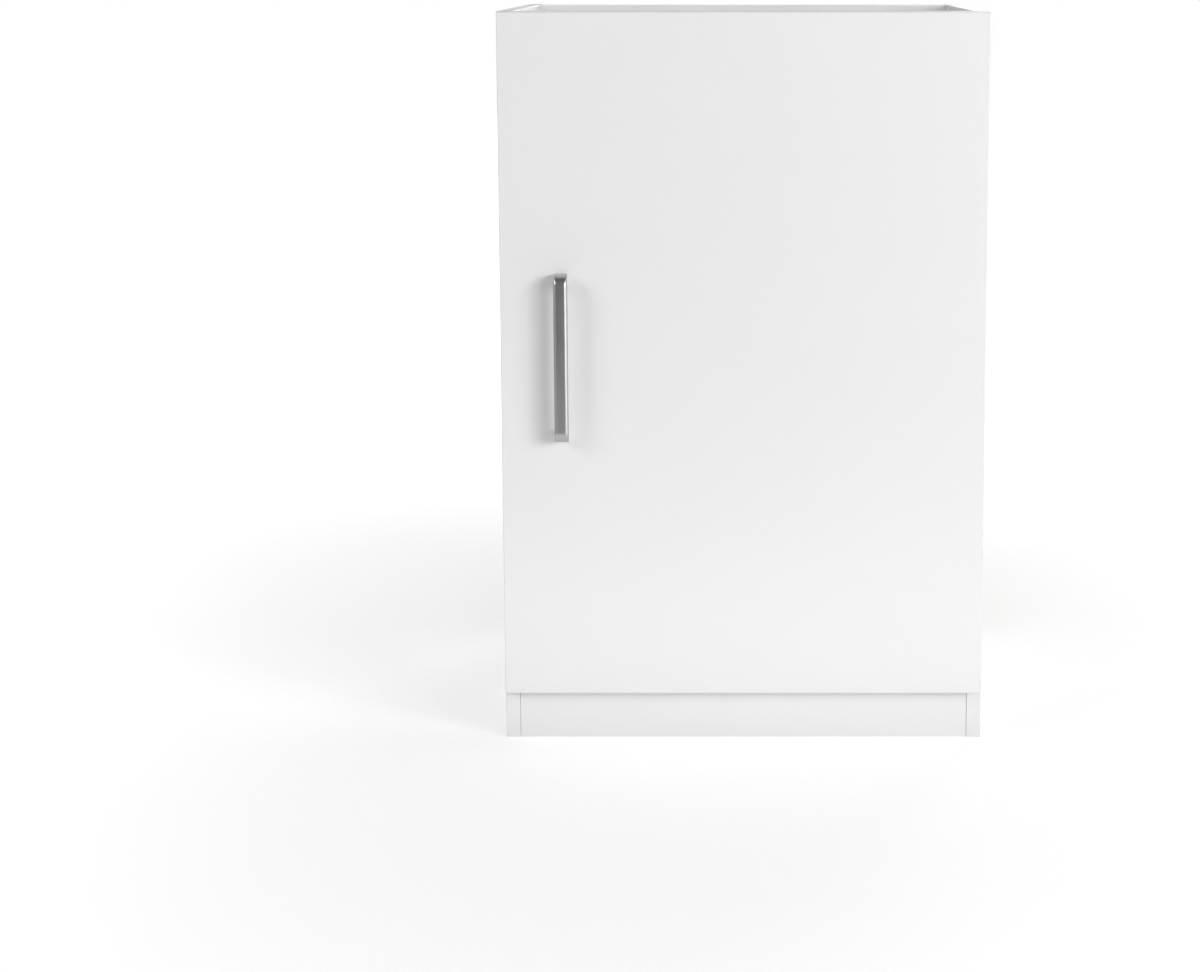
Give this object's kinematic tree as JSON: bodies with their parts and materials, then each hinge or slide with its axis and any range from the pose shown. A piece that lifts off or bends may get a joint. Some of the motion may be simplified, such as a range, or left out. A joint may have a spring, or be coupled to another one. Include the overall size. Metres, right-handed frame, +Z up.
{
  "type": "kitchen base cabinet",
  "caption": "White kitchen base cabinet with one full-overlay hinged door, bow handle, inner shelf, flush plinth and an open top for a worktop.",
  "frame": {"origin": "on the floor, at the centre of the whole cabinet's box", "axes": "+X to the right of someone facing the door, +Y towards the wall behind, +Z up"},
  "size_m": [0.5, 0.504, 0.758],
  "materials": {
    "white_board": "fine-grained satin white melamine on chipboard",
    "white_hardboard": "white lacquered hardboard, brown behind",
    "handle_metal": "satin nickel",
    "hinge_steel": "nickel-plated stamped steel",
    "fastener_steel": "bright zinc plating",
    "bracket_steel": "dull zinc plating",
    "white_plastic": "moulded white nylon",
    "beech": "plain beech",
    "clear_rubber": "soft translucent polyurethane"
  },
  "bodies": {
    "carcass": {"left_side_panel": "white_board", "right_side_panel": "white_board", "bottom_panel": "white_board", "plinth": "white_board", "front_rail": "white_board", "rear_rail": "white_board", "back_panel": "white_hardboard", "back_panel_screws": "fastener_steel", "plinth_blocks": "white_plastic", "plinth_block_screws": "fastener_steel", "cam_locks": "fastener_steel", "cam_bolts": "fastener_steel", "wood_dowels": "beech", "shelf": "white_board", "shelf_pins": "hinge_steel", "wall_brackets": "bracket_steel", "wall_bracket_screws": "fastener_steel", "upper_hinge_plate": "hinge_steel", "lower_hinge_plate": "hinge_steel", "upper_hinge_arm": "hinge_steel", "lower_hinge_arm": "hinge_steel", "hinge_plate_screws": "fastener_steel", "hinge_arm_screws": "fastener_steel"},
    "door": {"door_panel": "white_board", "handle": "handle_metal", "handle_screws": "fastener_steel", "upper_hinge_cup": "hinge_steel", "lower_hinge_cup": "hinge_steel", "hinge_cup_screws": "fastener_steel", "hinge_pins": "fastener_steel", "door_bumpers": "clear_rubber"}
  },
  "joints": [
    {"name": "door_swing", "type": "hinge", "parent": "carcass", "child": "door", "pos_m": [0.24206, -0.2191, 0.40475], "axis": [0, 0, 1], "range_deg": [0, 95]}
  ]
}
